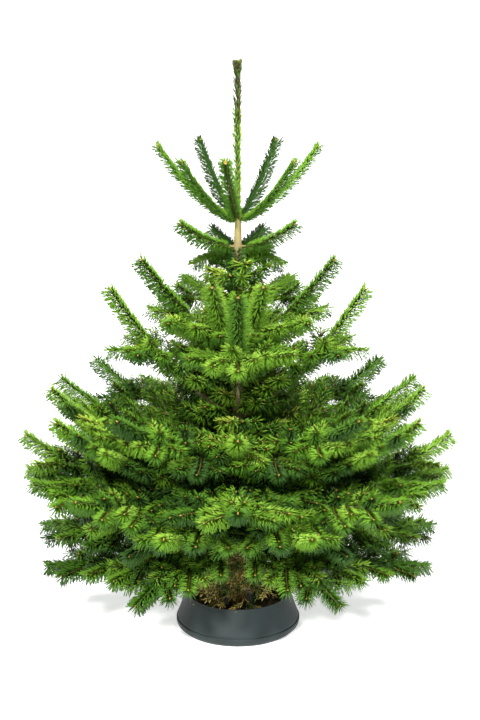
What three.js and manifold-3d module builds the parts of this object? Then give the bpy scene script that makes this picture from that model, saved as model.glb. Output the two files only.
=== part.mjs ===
// A cut fir tree in its round stand, as a three.js scene graph.
// Millimetres, +Z up, the viewer's side is -Y. The origin is the middle of the stand's flat underside.
//
// The crown grows by one rule: whorls of boughs leave the trunk, every bough is one curve that grew
// a length each year, and at the end of each year's length twigs fan out to both sides.
// A bough's bare inner length is a limb of its own. What carries needles is a mass: a slim
// three-sided core that sprays of needles stand out of.

import * as THREE from 'three';
import { mergeVertices } from 'three/addons/utils/BufferGeometryUtils.js';
import Module from 'manifold-3d';

const wasm = await Module();
wasm.setup();

// ---- driving dimensions -------------------------------------------------------------------

const GAP = 0.3;                    // clearance wherever two pieces meet
const TREE_TOP = 1644;              // tip of the leader above the floor

const STAND_RIM_RADIUS = 151;
const STAND_FOOT_RADIUS = 180;
const STAND_HEIGHT = 104;
const STAND_WALL = 4;
const STAND_BAND = 25;              // height of the foot band under the groove
const STAND_TURN_IN = 9;            // how far the foot band turns in at the floor
const DECK_HEIGHT = 86;             // deck between the rim and the well
const WELL_RADIUS = 78;
const WELL_FLOOR = 6;

const STAND_SIDES = 28;

const CLAW_COUNT = 4;
const CLAW_WIDTH = 16;
const CLAW_TOP = 124;
const CLAW_GRIP = 108;              // height at which a claw's head meets the trunk

const TRUNK_SIDES = 12;
// height and radius of the trunk, foot to leader: flared at the cut, then a steady taper
const TRUNK_TAPER = [
  [WELL_FLOOR + GAP, 27],
  [90, 25],
  [300, 21],
  [560, 17.5],
  [850, 13.5],
  [1200, 10],
  [1240, 5.2],
  [1600, 3.4],
];

const NEEDLE_REACH = 25;            // how far a spray of needles stands out of its twig
const SPRAY_PITCH = 88;             // spacing of the sprays along a twig
const TWIG_CORE = 3.2;
const TWIG_TIP_CORE = 2.2;

const STAGGER = 0.9;                // in root radii
const TWIG_SHARE = 0.6;             // a side twig is this share of the bough left beyond it
const TWIG_LEAST = 45;
const UNDER_TWIG_RISE = -0.05;
const TWIG_LEVELLING = 0.05;        // how much of the bough's rise a side twig keeps
const SHADED_SIDE = 0.3;            // how much shorter a twig is that points away from the light

// Whorls from the top down. A bough is [azimuth, reach, lift, sag, limb]: where it heads (0 is the
// viewer's side), how far out and up its tip lies from its root, how far it hangs below the straight
// line between them, and the share of it that is a bare limb of its own. Azimuths other than 180
// and up to 0 stand for a bough on each side. years is the bough's age, bare the share without
// needles where there is no limb, splay the angle between a bough and its side twigs, and under
// whether each year's end also bears a level twig below. The light came from azimuth 0.
const WHORLS = [
  {
    name: 'top_shoot', height: 1202, root: 2.8, years: 1, bare: 0.12, splay: 54, under: false,
    boughs: [[-14, 132, 180, 14, 0], [45, 206, 184, 26, 0], [90, 215, 202, 32, 0], [148, 201, 190, 26, 0]],
  },
  {
    name: 'tuft', height: 1124, root: 3.2, years: 1, bare: 0.14, splay: 54, under: false,
    boughs: [[66, 168, 80, 14, 0], [104, 126, -52, -6, 0], [146, 126, 32, 6, 0]],
  },
  {
    name: 'upper_spray', height: 850, root: 6, years: 2, bare: 0.24, splay: 54, under: false,
    boughs: [[20, 200, 206, 44, 0], [74, 274, 257, 34, 0], [144, 256, 140, -30, 0]],
  },
  {
    name: 'middle', height: 634, root: 7, years: 3, bare: 0.3, splay: 76, under: true,
    boughs: [[0, 352, 436, 52, 0.42], [80, 353, 386, 48, 0.42], [180, 330, 240, 44, 0]],
  },
  {
    name: 'main', height: 552, root: 7.5, years: 3, bare: 0.2, splay: 44, under: false,
    boughs: [
      [0, 330, 120, 26, 0], [44, 460, 176, 34, 0], [98, 510, 173, 62, 0],
      [128, 538, 153, 36, 0], [180, 440, 130, 30, 0],
    ],
  },
  {
    name: 'lower_spray', height: 455, root: 7, years: 5, bare: 0.18, splay: 54, under: false,
    boughs: [[0, 530, 90, 30, 0], [52, 550, 48, 44, 0], [93, 608, 112, 86, 0], [146, 504, 166, -14, 0]],
  },
  {
    name: 'low_spray', height: 366, root: 6.5, years: 4, bare: 0.2, splay: 54, under: false,
    boughs: [[24, 480, 70, 24, 0], [76, 588, 118, 24, 0], [106, 600, -126, 16, 0], [180, 510, 40, 20, 0]],
  },
  {
    name: 'skirt_spray', height: 284, root: 6, years: 4, bare: 0.2, splay: 54, under: false,
    boughs: [[40, 433, -86, -30, 0], [86, 548, -90, 22, 0], [144, 500, -60, -24, 0]],
  },
];

// ---- materials ------------------------------------------------------------------------------

const paint = (color, roughness, metalness = 0) =>
  new THREE.MeshStandardMaterial({ color, roughness, metalness });

const material = {
  bark: paint('#7a6448', 0.85),
  youngNeedles: paint('#5f9a2c', 0.6),
  needles: paint('#3f7a24', 0.6),
  plastic: paint('#33403f', 0.45),
  clamp: paint('#6e7174', 0.4, 0.6),
};

// ---- solids ---------------------------------------------------------------------------------

// A closed geometry as a solid, whichever way round its faces were listed.
function solidOf(geometry) {
  geometry.deleteAttribute('normal');
  geometry.deleteAttribute('uv');
  const merged = mergeVertices(geometry, 1e-4);
  const vertProperties = new Float32Array(merged.attributes.position.array);
  const triVerts = new Uint32Array(merged.index.array);
  const solid = new wasm.Manifold(new wasm.Mesh({ numProp: 3, vertProperties, triVerts }));
  if (solid.volume() > 0) {
    return solid;
  }
  for (let i = 0; i < triVerts.length; i += 3) {
    [triVerts[i], triVerts[i + 1]] = [triVerts[i + 1], triVerts[i]];
  }
  return new wasm.Manifold(new wasm.Mesh({ numProp: 3, vertProperties, triVerts }));
}

function meshOf(solid, name, look) {
  const { vertProperties, triVerts } = solid.getMesh();
  const geometry = new THREE.BufferGeometry();
  geometry.setAttribute('position', new THREE.BufferAttribute(vertProperties, 3));
  geometry.setIndex(new THREE.BufferAttribute(triVerts, 1));
  geometry.computeVertexNormals();
  const mesh = new THREE.Mesh(geometry, look);
  mesh.name = name;
  return mesh;
}

// A profile of [radius, height] points turned about the Z axis.
function turned(profile, sides) {
  const points = profile.map(([radius, height]) => new THREE.Vector2(radius, height));
  return solidOf(new THREE.LatheGeometry(points, sides).rotateX(Math.PI / 2));
}

// ---- seeded chance ----------------------------------------------------------------------------

// A number from 0 to 1 that depends only on the whole numbers given.
function chance(...keys) {
  let h = 2166136261;
  for (const key of keys) {
    h = Math.imul(h ^ (key + 1), 16777619) >>> 0;
    h = (h ^ (h >>> 15)) >>> 0;
    h = Math.imul(h, 2246822519) >>> 0;
    h = (h ^ (h >>> 13)) >>> 0;
  }
  return h / 4294967296;
}

const spread = (...keys) => 2 * chance(...keys) - 1;

// ---- boughs and twigs as curves ---------------------------------------------------------------

const UP = new THREE.Vector3(0, 0, 1);
const RAD = Math.PI / 180;

const alongCompass = (azimuth) =>
  new THREE.Vector3(Math.sin(azimuth * RAD), -Math.cos(azimuth * RAD), 0);

function trunkRadius(height) {
  const above = TRUNK_TAPER.findIndex(([z]) => z >= height);
  const [z0, r0] = TRUNK_TAPER[above - 1];
  const [z1, r1] = TRUNK_TAPER[above];
  return r0 + (r1 - r0) * (height - z0) / (z1 - z0);
}

// Neighbours in a whorl leave the trunk a little above and below each other.
function boughCurve(whorl, b, hand) {
  const [azimuth, reach, lift, sag] = whorl.boughs[b];
  const out = alongCompass(hand * azimuth);
  const step = b % 2 === 0 ? STAGGER : -STAGGER;
  const at = (share, drop) =>
    out.clone().multiplyScalar(reach * share).addScaledVector(UP, whorl.height + lift * share - drop);
  return new THREE.QuadraticBezierCurve3(at(0, -step * whorl.root), at(0.5, sag * 2), at(1, 0));
}

// The curve's place and its forward, side and upward directions at a share of its length.
function frameAt(curve, t) {
  const place = curve.getPoint(t);
  const forward = curve.getTangent(t);
  const side = new THREE.Vector3().crossVectors(forward, UP).normalize();
  const upward = new THREE.Vector3().crossVectors(side, forward);
  return { place, forward, side, upward };
}

// A twig that leaves its bough at the end of a year's growth. turn is 1 or -1 for the two side
// twigs and 0 for the level twig underneath.
function twigCurve(whorl, curve, t, turn, hand, seeds) {
  const { place, forward, side } = frameAt(curve, t);
  const left = (1 - t) * curve.getLength();
  const flat = forward.clone().setZ(0).normalize();
  const splay = (whorl.splay + 7 * spread(...seeds, 1)) * RAD;
  const rise = turn === 0
    ? UNDER_TWIG_RISE
    : forward.z * TWIG_LEVELLING + 0.12 * spread(...seeds, 2);
  const heading = turn === 0
    ? flat.clone()
    : flat.clone().multiplyScalar(Math.cos(splay)).addScaledVector(side, turn * hand * Math.sin(splay));
  const shaded = SHADED_SIDE * Math.max(heading.y, 0);
  const length = (TWIG_SHARE * left + TWIG_LEAST)
    * (turn === 0 ? 0.84 : 1 - shaded + 0.12 * spread(...seeds, 0));
  heading.setZ(rise).normalize();
  const later = heading.clone().addScaledVector(forward, turn === 0 ? 0.1 : 0.35).normalize();
  const bend = place.clone().addScaledVector(heading, length / 2);
  const tip = bend.clone().addScaledVector(later, length / 2);
  return new THREE.QuadraticBezierCurve3(place, bend, tip);
}

// ---- sprays -----------------------------------------------------------------------------------

const CORE_CORNERS = [270, 30, 150];            // degrees round the twig, 90 is its upper side
const SPRAY_HEADINGS = [350, 90, 190];          // where the spray over each side of the core points
const SPRAY_FORWARD = 0.92;                     // how far along its pitch a spray's point lies

const roundTwig = ({ side, upward }, degrees, radius) =>
  side.clone().multiplyScalar(Math.cos(degrees * RAD) * radius)
    .addScaledVector(upward, Math.sin(degrees * RAD) * radius);

// A three-sided core along a curve from share t0 to 1. Past the share bare, every side of every
// length of the core rises to a point that leans forward: a spray of needles.
function needledTwig(curve, { t0 = 0, bare = 0, root, tip, reach, pitch = SPRAY_PITCH }) {
  const rings = Math.max(2, Math.round(curve.getLength() * (1 - t0) / pitch));
  const corners = [];
  const faces = [];
  const put = (point) => corners.push(point.x, point.y, point.z) / 3 - 1;
  for (let i = 0; i <= rings; i += 1) {
    const frame = frameAt(curve, t0 + (1 - t0) * i / rings);
    const radius = root + (tip - root) * i / rings;
    CORE_CORNERS.forEach((degrees) => put(frame.place.clone().add(roundTwig(frame, degrees, radius))));
  }
  for (let i = 0; i < rings; i += 1) {
    const middle = t0 + (1 - t0) * (i + SPRAY_FORWARD) / rings;
    const frame = frameAt(curve, Math.min(1, middle));
    const needled = t0 + (1 - t0) * (i + 0.5) / rings > bare;
    const fullness = 0.72 + 0.28 * Math.sin(Math.PI * (i + 0.8) / (rings + 0.6));
    CORE_CORNERS.forEach((_, k) => {
      const a = 3 * i + k;
      const b = 3 * i + (k + 1) % 3;
      const c = b + 3;
      const d = a + 3;
      if (!needled) {
        faces.push(a, b, c, a, c, d);
        return;
      }
      const top = SPRAY_HEADINGS[k] === 90 ? 0.8 : 1;
      const point = put(frame.place.clone()
        .add(roundTwig(frame, SPRAY_HEADINGS[k], reach * fullness * top)));
      faces.push(a, b, point, b, c, point, c, d, point, d, a, point);
    });
  }
  const end = frameAt(curve, 1);
  const bud = put(end.place.clone().addScaledVector(end.forward, Math.min(14, reach * 0.5)));
  const last = 3 * rings;
  faces.push(0, 2, 1, last, last + 1, bud, last + 1, last + 2, bud, last + 2, last, bud);
  const geometry = new THREE.BufferGeometry();
  geometry.setAttribute('position', new THREE.Float32BufferAttribute(corners, 3));
  geometry.setIndex(faces);
  return solidOf(geometry);
}

// A bare tapering limb along a curve, from its root to share t1.
function limb(curve, t1, root, tip) {
  const sides = 6;
  const steps = 7;
  const corners = [];
  const faces = [];
  for (let i = 0; i <= steps; i += 1) {
    const frame = frameAt(curve, t1 * i / steps);
    const radius = root + (tip - root) * i / steps;
    for (let k = 0; k < sides; k += 1) {
      const point = frame.place.clone().add(roundTwig(frame, 360 * k / sides, radius));
      corners.push(point.x, point.y, point.z);
    }
  }
  for (let i = 0; i < steps; i += 1) {
    for (let k = 0; k < sides; k += 1) {
      const a = sides * i + k;
      const b = sides * i + (k + 1) % sides;
      faces.push(a, b, b + sides, a, b + sides, a + sides);
    }
  }
  const last = sides * steps;
  for (let k = 1; k < sides - 1; k += 1) {
    faces.push(0, k + 1, k, last, last + k, last + k + 1);
  }
  const geometry = new THREE.BufferGeometry();
  geometry.setAttribute('position', new THREE.Float32BufferAttribute(corners, 3));
  geometry.setIndex(faces);
  return solidOf(geometry);
}

// ---- keeping clear ------------------------------------------------------------------------------

const placed = [];                  // every solid made so far, with the node that it belongs to

const boxesNear = (a, b, margin) =>
  [0, 1, 2].every((i) => a.min[i] - margin < b.max[i] && b.min[i] - margin < a.max[i]);

function isClear(solid, node) {
  const box = solid.boundingBox();
  return placed.every((other) => other.node === node
    || !boxesNear(box, other.box, GAP)
    || solid.minGap(other.solid, 2 * GAP) >= GAP);
}

function keep(solid, node) {
  placed.push({ solid, node, box: solid.boundingBox() });
  return solid;
}

// The fullest version of a twig that keeps clear of everything placed, or null.
function fitted(curve, size, node) {
  for (const fullness of [1, 0.75, 0.5, 0.3]) {
    const solid = needledTwig(curve, { ...size, reach: size.reach * fullness });
    if (isClear(solid, node)) {
      return keep(solid, node);
    }
  }
  return null;
}

const tree = new THREE.Group();
tree.name = 'fir_in_stand';

// ---- stand --------------------------------------------------------------------------------------

// The tub is one moulding: skirt, rim, deck and well, hollow underneath.
function standProfile() {
  const rim = STAND_WALL / 2;
  const slope = (STAND_RIM_RADIUS - STAND_FOOT_RADIUS) / (STAND_HEIGHT - STAND_BAND);
  const skirt = (height) => STAND_FOOT_RADIUS - 1.5 + slope * (height - STAND_BAND);
  const inner = (height) => skirt(height) - STAND_WALL;
  return [
    [0, WELL_FLOOR],
    [WELL_RADIUS - 8, WELL_FLOOR],
    [WELL_RADIUS - 2, WELL_FLOOR + 6],
    [WELL_RADIUS, DECK_HEIGHT - 4],
    [WELL_RADIUS + 4, DECK_HEIGHT],
    [inner(DECK_HEIGHT) - 3, DECK_HEIGHT],
    [inner(DECK_HEIGHT), DECK_HEIGHT + 3],
    [inner(STAND_HEIGHT) + 0.5, STAND_HEIGHT - rim],
    [inner(STAND_HEIGHT) + rim, STAND_HEIGHT],
    [skirt(STAND_HEIGHT) - 0.5, STAND_HEIGHT - rim],
    [skirt(60), 60],
    [skirt(STAND_BAND + 3), STAND_BAND + 3],
    [STAND_FOOT_RADIUS - 2.5, STAND_BAND + 1],
    [STAND_FOOT_RADIUS, STAND_BAND - 1],
    [STAND_FOOT_RADIUS, STAND_BAND * 0.6],
    [STAND_FOOT_RADIUS - STAND_TURN_IN * 0.4, STAND_BAND * 0.24],
    [STAND_FOOT_RADIUS - STAND_TURN_IN, 0],
    [STAND_FOOT_RADIUS - STAND_TURN_IN - STAND_WALL, 0],
    [STAND_FOOT_RADIUS - STAND_WALL - 1, STAND_BAND * 0.6],
    [inner(DECK_HEIGHT - STAND_WALL) - 1, DECK_HEIGHT - STAND_WALL],
    [WELL_RADIUS + STAND_WALL + 2, DECK_HEIGHT - STAND_WALL],
    [WELL_RADIUS + STAND_WALL, DECK_HEIGHT - STAND_WALL - 3],
    [WELL_RADIUS + STAND_WALL, 0],
    [0, 0],
  ];
}

const tub = keep(turned(standProfile(), STAND_SIDES), 'stand_tub');
tree.add(meshOf(tub, 'stand_tub', material.plastic));

// A claw stands on the well's floor and leans its head against the trunk.
function claw(index) {
  const grip = trunkRadius(CLAW_GRIP - 5) * Math.cos(Math.PI / TRUNK_SIDES) + GAP;
  const outline = new THREE.Shape();
  outline.moveTo(66, WELL_FLOOR + GAP);
  outline.lineTo(48, WELL_FLOOR + GAP);
  outline.lineTo(45, CLAW_GRIP - 26);
  outline.quadraticCurveTo(44, CLAW_GRIP - 8, grip, CLAW_GRIP - 5);
  outline.lineTo(grip, CLAW_GRIP + 5);
  outline.lineTo(41, CLAW_TOP);
  outline.lineTo(49, CLAW_TOP);
  outline.lineTo(56, CLAW_GRIP - 20);
  outline.lineTo(66, WELL_FLOOR + GAP);
  const bar = new THREE.ExtrudeGeometry(outline, {
    depth: CLAW_WIDTH,
    bevelEnabled: false,
    curveSegments: 6,
  });
  bar.translate(0, 0, -CLAW_WIDTH / 2);
  bar.rotateX(Math.PI / 2);
  bar.rotateZ((45 + 360 * index / CLAW_COUNT) * RAD);
  return solidOf(bar);
}

for (let i = 0; i < CLAW_COUNT; i += 1) {
  const name = `stand_claw_${i + 1}`;
  tree.add(meshOf(keep(claw(i), name), name, material.clamp));
}

// ---- trunk and leader -----------------------------------------------------------------------------

const foot = TRUNK_TAPER[0][0];
const stem = turned([[0, foot], ...TRUNK_TAPER.map(([z, r]) => [r, z]), [0, 1604]], TRUNK_SIDES);
const leaderCurve = (from, to) => new THREE.QuadraticBezierCurve3(
  new THREE.Vector3(0, 0, from),
  new THREE.Vector3(0.4, -0.4, (from + to) / 2),
  new THREE.Vector3(0.8, -0.8, to),
);
const leader = needledTwig(leaderCurve(1226, TREE_TOP - 6), { root: 5, tip: 3, reach: 10, pitch: 58 });
let trunk = stem.add(leader);
for (let i = 0; i < 4; i += 1) {
  const out = alongCompass(90 * i + 40);
  const budRoot = new THREE.Vector3(0, 0, 1592);
  const bud = new THREE.QuadraticBezierCurve3(
    budRoot,
    budRoot.clone().addScaledVector(out, 6).addScaledVector(UP, 10),
    budRoot.clone().addScaledVector(out, 10).addScaledVector(UP, 26),
  );
  trunk = trunk.add(needledTwig(bud, { root: 2.5, tip: 2, reach: 7, pitch: 14 }));
}
keep(trunk, 'trunk');
tree.add(meshOf(trunk, 'trunk', material.bark));

// A slightly fatter trunk that roots are cut back to, so that each ends just clear of the bark.
const clearance = turned(
  [[0, foot], ...TRUNK_TAPER.map(([z, r]) => [r + GAP + 0.03, z]), [0, 1604]],
  TRUNK_SIDES,
);

// ---- boughs: limbs first, then the needled stems, then their twigs ---------------------------------

const boughs = [];
WHORLS.forEach((whorl, w) => {
  let count = 0;
  whorl.boughs.forEach((shape, b) => {
    const hands = shape[0] % 180 === 0 || shape[0] < 0 ? [1] : [1, -1];
    hands.forEach((hand) => {
      count += 1;
      const curve = boughCurve(whorl, b, hand);
      const kind = whorl.name.includes('_') || whorl.years === 1 ? '' : '_spray';
      const mass = `${whorl.name}${kind}_${count}`;
      const limbName = `${whorl.name}_bough_${count}`;
      boughs.push({ w, b, whorl, curve, hand, mass, limbName, bareLimb: shape[4] });
    });
  });
});

for (const { curve, whorl, limbName, bareLimb } of boughs) {
  if (bareLimb > 0) {
    const solid = limb(curve, bareLimb, whorl.root, whorl.root * 0.72).subtract(clearance);
    tree.add(meshOf(keep(solid, limbName), limbName, material.bark));
  }
}

for (const bough of boughs) {
  const { curve, whorl, mass, bareLimb } = bough;
  const size = {
    t0: bareLimb > 0 ? bareLimb + (GAP + 0.05) / curve.getLength() : 0,
    bare: bareLimb > 0 ? 0 : whorl.bare,
    root: whorl.root * (bareLimb > 0 ? 0.66 : 0.85),
    tip: TWIG_TIP_CORE,
    reach: NEEDLE_REACH,
  };
  bough.parts = [];
  for (const fullness of [1, 0.75, 0.5, 0.3, 0.15]) {
    let solid = needledTwig(curve, { ...size, reach: size.reach * fullness });
    if (bareLimb === 0) {
      solid = solid.subtract(clearance);
    }
    if (isClear(solid, mass)) {
      bough.parts.push(keep(solid, mass));
      break;
    }
  }
  if (bough.parts.length === 0) {
    throw new Error(`${mass} has no room`);
  }
}

for (const { w, b, whorl, curve, hand, mass, parts, bareLimb } of boughs) {
  for (let year = 1; year < whorl.years; year += 1) {
    const t = year / whorl.years;
    const turns = whorl.under ? [1, -1, 0] : [1, -1];
    for (const turn of turns) {
      if (t > (bareLimb || whorl.bare) + 0.02) {
        const twig = twigCurve(whorl, curve, t, turn, hand, [w, b, year, turn + 1]);
        const solid = fitted(twig, { root: TWIG_CORE, tip: TWIG_TIP_CORE, reach: NEEDLE_REACH }, mass);
        if (solid) {
          parts.push(solid);
        }
      }
    }
  }
}

for (const { w, mass, parts } of boughs) {
  const whole = parts.reduce((sum, part) => sum.add(part));
  tree.add(meshOf(whole, mass, w < 2 ? material.youngNeedles : material.needles));
}

export default tree;
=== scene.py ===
# %% [markdown]
# # A cut fir in its stand
# The solids of the tree come in as a fixed frame, and this notebook dresses them in their own
# sizes. The stand is turned again with round edges, trunk and boughs get bark with relief, and
# each rough mass of foliage is grown again by the same rule that made the solid, carried on to
# finer twigs, buds and single needles.

# %% Load the frame
import math

import bmesh
import bpy
import numpy as np
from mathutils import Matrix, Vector, noise


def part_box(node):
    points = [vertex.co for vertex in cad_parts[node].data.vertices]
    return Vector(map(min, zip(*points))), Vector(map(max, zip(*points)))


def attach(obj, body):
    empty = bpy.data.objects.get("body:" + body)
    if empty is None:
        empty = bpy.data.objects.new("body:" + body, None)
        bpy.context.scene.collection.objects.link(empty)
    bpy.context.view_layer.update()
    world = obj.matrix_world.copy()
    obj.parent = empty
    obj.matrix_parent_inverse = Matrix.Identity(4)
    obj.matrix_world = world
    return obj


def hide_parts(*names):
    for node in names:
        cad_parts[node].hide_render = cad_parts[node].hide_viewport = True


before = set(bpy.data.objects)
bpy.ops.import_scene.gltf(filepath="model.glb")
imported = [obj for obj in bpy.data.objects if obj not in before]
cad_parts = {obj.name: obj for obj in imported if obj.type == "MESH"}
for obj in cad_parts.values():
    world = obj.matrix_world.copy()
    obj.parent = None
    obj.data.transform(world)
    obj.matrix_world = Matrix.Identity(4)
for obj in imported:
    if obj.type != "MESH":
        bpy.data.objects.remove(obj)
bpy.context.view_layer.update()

foot_height, top_height = (corner[2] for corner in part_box("trunk"))
FOOT_RADIUS, _, TUB_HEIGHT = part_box("stand_tub")[1]

# %% [markdown]
# ## How the tree grew
# A fir adds one whorl of boughs and one length to every bough each year. So a bough is one
# curve, and side twigs leave it at the end of each year's length. The table is the one that the
# solids were made from, in metres: azimuth, reach, lift and sag of each bough, and the share of
# it that is a bare limb. An azimuth of 180, or one up to 0, stands for a single bough, and any
# other for a bough on each side. Splay is the angle of the side twigs, and under says that a level
# twig grows below too. Only bare, the share of a bough that has no needles near the trunk, is
# smaller here on the top shoots, because their needles begin right at the trunk.

# %% The table of whorls
WHORLS = [
    dict(name="top_shoot", height=1.202, root=0.0028, years=1, bare=0.03, splay=54, under=False,
         boughs=[(-14, 0.132, 0.180, 0.014, 0), (45, 0.206, 0.184, 0.026, 0),
                 (90, 0.215, 0.202, 0.032, 0), (148, 0.201, 0.190, 0.026, 0)]),
    dict(name="tuft", height=1.124, root=0.0032, years=1, bare=0.14, splay=54, under=False,
         boughs=[(66, 0.168, 0.080, 0.014, 0), (104, 0.126, -0.052, -0.006, 0),
                 (146, 0.126, 0.032, 0.006, 0)]),
    dict(name="upper_spray", height=0.850, root=0.006, years=2, bare=0.24, splay=54, under=False,
         boughs=[(20, 0.200, 0.206, 0.044, 0), (74, 0.274, 0.257, 0.034, 0),
                 (144, 0.256, 0.140, -0.030, 0)]),
    dict(name="middle", height=0.634, root=0.007, years=3, bare=0.3, splay=76, under=True,
         boughs=[(0, 0.352, 0.436, 0.052, 0.42), (80, 0.353, 0.386, 0.048, 0.42),
                 (180, 0.330, 0.240, 0.044, 0)]),
    dict(name="main", height=0.552, root=0.0075, years=3, bare=0.2, splay=44, under=False,
         boughs=[(0, 0.330, 0.120, 0.026, 0), (44, 0.460, 0.176, 0.034, 0),
                 (98, 0.510, 0.173, 0.062, 0), (128, 0.538, 0.153, 0.036, 0),
                 (180, 0.440, 0.130, 0.030, 0)]),
    dict(name="lower_spray", height=0.455, root=0.007, years=5, bare=0.18, splay=54, under=False,
         boughs=[(0, 0.530, 0.090, 0.030, 0), (52, 0.550, 0.048, 0.044, 0),
                 (93, 0.608, 0.112, 0.086, 0), (146, 0.504, 0.166, -0.014, 0)]),
    dict(name="low_spray", height=0.366, root=0.0065, years=4, bare=0.2, splay=54, under=False,
         boughs=[(24, 0.480, 0.070, 0.024, 0), (76, 0.588, 0.118, 0.024, 0),
                 (106, 0.600, -0.126, 0.016, 0), (180, 0.510, 0.040, 0.020, 0)]),
    dict(name="skirt_spray", height=0.284, root=0.006, years=4, bare=0.2, splay=54, under=False,
         boughs=[(40, 0.433, -0.086, -0.030, 0), (86, 0.548, -0.090, 0.022, 0),
                 (144, 0.500, -0.060, -0.024, 0)]),
]
STAGGER = 0.9  # boughs of a whorl leave a little above or below it, in root radii
TWIG_SHARE = 0.6  # a side twig is this share of the bough left beyond it
TWIG_LEAST = 0.045  # and this much longer
UNDER_TWIG_SHARE, UNDER_TWIG_RISE = 0.84, -0.05
TWIG_LEVELLING = 0.05  # how much of the bough's rise a side twig keeps
SHADED_SIDE = 0.3  # how much shorter a twig is that points away from the light
TWIG_VARIETY, SPLAY_VARIETY = 0.12, 7
UP = np.array([0.0, 0.0, 1.0])
print(len(WHORLS), "whorls,", sum(len(w["boughs"]) for w in WHORLS), "kinds of bough")


# %% [markdown]
# A tree looks grown when no two twigs are alike, and it has to come out the same each time. So
# chance is worked out from whole numbers that say which twig it is. Only needles draw from a
# generator, and each shoot's has its own seed.

# %% Seeded chance
WORD = 0xFFFFFFFF  # keeps the sum to 32 bits
START, FIRST_STIR, SECOND_STIR = 2166136261, 16777619, 2246822519  # a usual hash


def chance(*keys):
    """A number from 0 to 1 that depends only on the whole numbers given."""
    mixed = START
    for key in keys:
        mixed = ((mixed ^ (key + 1)) * FIRST_STIR) & WORD
        mixed ^= mixed >> 15
        mixed = (mixed * SECOND_STIR) & WORD
        mixed ^= mixed >> 13
    return mixed / (WORD + 1)


def spread(*keys):
    """The same, from -1 to 1."""
    return 2 * chance(*keys) - 1


print("chance repeats itself:", chance(1, 2), chance(1, 2))


# %% Curves
def unit(v):
    """Vectors of length 1 in the same directions."""
    return v / np.linalg.norm(v, axis=-1, keepdims=True)


def along(curve, t):
    """Points of a quadratic curve at the shares t."""
    t = np.asarray(t, float)[..., None]
    a, b, c = curve
    return (1 - t) ** 2 * a + 2 * t * (1 - t) * b + t * t * c


def heading(curve, t):
    """Directions in which a curve runs at the shares t."""
    t = np.asarray(t, float)[..., None]
    a, b, c = curve
    return unit((1 - t) * (b - a) + t * (c - b))


def length_of(curve):
    """Length of a curve, measured in sixteen straight steps."""
    steps = along(curve, np.linspace(0, 1, 17))
    return float(np.linalg.norm(np.diff(steps, axis=0), axis=1).sum())


def outward(angle):
    """Level direction at an azimuth in radians, counted from the front of the tree."""
    return np.array([math.sin(angle), -math.cos(angle), 0.0])


print("the front of the tree is at", outward(0.0))


# %% Curves of boughs and side twigs
def bough_curve(whorl, b, hand):
    """Centre line of bough b of a whorl. hand is 1 or -1, for the right or left of the tree."""
    azimuth, reach, lift, sag, _ = whorl["boughs"][b]
    out = outward(math.radians(hand * azimuth))
    step = STAGGER if b % 2 == 0 else -STAGGER

    def at(share, drop):
        """Place at a share of the reach, hanging below the straight line by drop."""
        return out * reach * share + UP * (whorl["height"] + lift * share - drop)

    return at(0, -step * whorl["root"]), at(0.5, sag * 2), at(1, 0)


def twig_curve(whorl, curve, t, turn, hand, seeds):
    """The side twig that leaves a bough at share t; turn 0 is the level twig underneath."""
    place, forward = along(curve, t), heading(curve, t)
    side = unit(np.cross(forward, UP))
    left = (1 - t) * length_of(curve)
    flat = unit(forward * [1, 1, 0])
    splay = math.radians(whorl["splay"] + SPLAY_VARIETY * spread(*seeds, 1))
    if turn == 0:
        way = flat + UP * UNDER_TWIG_RISE
        share = UNDER_TWIG_SHARE
    else:
        rise = forward[2] * TWIG_LEVELLING + TWIG_VARIETY * spread(*seeds, 2)
        way = flat * math.cos(splay) + side * (turn * hand * math.sin(splay)) + UP * rise
        share = 1 - SHADED_SIDE * max(way[1], 0) + TWIG_VARIETY * spread(*seeds, 0)
    size = (TWIG_SHARE * left + TWIG_LEAST) * share
    way = unit(way)
    later = unit(way + forward * (0.1 if turn == 0 else 0.35))
    bend = place + way * size / 2
    return place, bend, bend + later * size / 2


print("the first bough is", round(length_of(bough_curve(WHORLS[0], 0, 1)), 3), "m long")

# %% [markdown]
# ## Boughs, side twigs and finer twigs
# The solids stop at the side twigs. On the real tree these fork again at the end of each year's
# length, while the length of the last year is a plain brush of needles. So every twig gets nodes
# counted back from its tip, and every node a fork to each side and now and then one above. A fine
# twig that would leave the box of its own mass is skipped, which keeps the crown's outline.


# %% Grow the boughs
def hands_of(azimuth):
    """Both sides of the tree, or one for a bough in its middle."""
    return (1,) if azimuth <= 0 or azimuth == 180 else (1, -1)


boughs = []
for w, whorl in enumerate(WHORLS):
    ending = "" if "_" in whorl["name"] or whorl["years"] == 1 else "_spray"
    mass_name = whorl["name"] + ending
    places = [(b, hand) for b, shape in enumerate(whorl["boughs"]) for hand in hands_of(shape[0])]
    for number, (b, hand) in enumerate(places, 1):
        boughs.append(dict(
            w=w, b=b, hand=hand, whorl=whorl, curve=bough_curve(whorl, b, hand),
            limb=whorl["boughs"][b][4], limb_name=f"{whorl['name']}_bough_{number}",
            mass=f"{mass_name}_{number}",
            box=[np.array(corner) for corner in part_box(f"{mass_name}_{number}")],
        ))
print(len(boughs), "boughs")

# %% Shoots that fork from a twig
LAST_YEAR = 0.105  # plain length at the end of a twig
YEAR_STEP = 0.062  # from node to node further in
FIRST_FORK = 0.14  # share of a twig that has no forks at its root
FORK_LEAST, FORK_GROWTH = 0.080, 0.038
FORK_AROUND = (6, 174, 84)  # to either side and above, in degrees
NO_UPPER_FORK, UPPER_FORK_SHARE = 0.45, 0.8
FORK_SPLAY = 50
LONG_ENOUGH = 1.3  # in last years' lengths, for a fork that forks again
SIDE_TWIG_ROOT, FINE_ROOT = 0.0025, 0.0018
REACH_SLACK = 0.006
STRAIGHTENING, LIFTING = 0.35, 0.06
GOLDEN = (math.sqrt(5) - 1) / 2
shoots = []


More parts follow.
